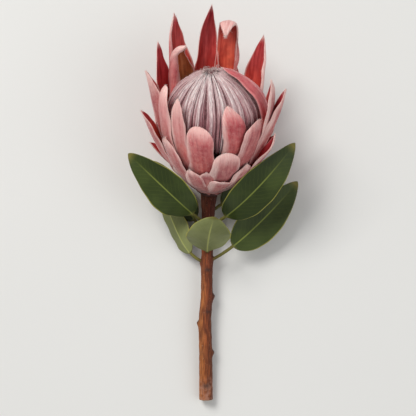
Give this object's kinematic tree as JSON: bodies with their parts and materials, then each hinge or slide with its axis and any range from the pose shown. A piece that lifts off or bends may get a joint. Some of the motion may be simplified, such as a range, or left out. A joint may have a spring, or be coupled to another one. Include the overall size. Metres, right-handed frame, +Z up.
{
  "type": "protea flower",
  "caption": "Cut king protea: pink bracts cupped round a pale dome of florets, leathery leaves on long stalks and a knobbly woody stem, lying on its back.",
  "frame": {"origin": "middle of the flower's box, on the surface that it lies on", "axes": "+X to the flower's right as its face is looked at, +Y along the stem from the cut end to the head, +Z up, out of the flower's face"},
  "size_m": [0.1586, 0.3644, 0.1166],
  "materials": {
    "stem": "reddish brown bark, matte, with leaf scars and lenticels",
    "bract": "silky pink outside with pale fuzz on the margins, smooth crimson inside",
    "floret": "matte silvery white to mauve, pleated into fine strands",
    "leaf": "leathery mid green with a soft sheen, yellow midrib and margin"
  },
  "bodies": {
    "root": {"stem": "stem", "bracts": "bract", "florets": "floret", "leaf_1": "leaf", "leaf_2": "leaf", "leaf_3": "leaf", "leaf_4": "leaf", "leaf_5": "leaf", "leaf_6": "leaf", "leaf_7": "leaf"}
  },
  "joints": []
}
